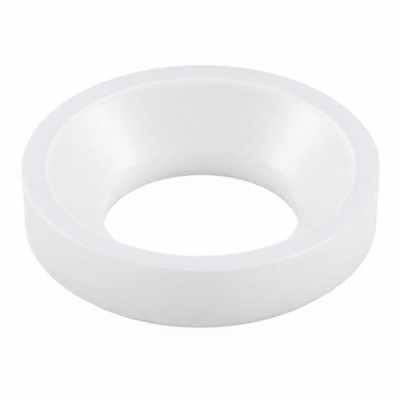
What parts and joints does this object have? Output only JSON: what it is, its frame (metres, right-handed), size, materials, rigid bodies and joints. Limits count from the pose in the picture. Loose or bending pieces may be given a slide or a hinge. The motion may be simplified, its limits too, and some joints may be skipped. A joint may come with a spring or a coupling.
{
  "type": "flare washer",
  "caption": "White plastic flare washer: a flat-rimmed ring whose conical seat narrows to a short straight bore, to bed the conical head of a screw.",
  "frame": {"origin": "centre of the flat underside, on the ring's axis", "axes": "+Z along the ring's axis, from the underside towards the flat rim and the mouth of the seat"},
  "size_m": [0.02, 0.02, 0.0046],
  "materials": {
    "white_plastic": "satin natural white plastic, as moulded, faintly translucent at its edges"
  },
  "bodies": {
    "root": {"washer": "white_plastic"}
  },
  "joints": []
}
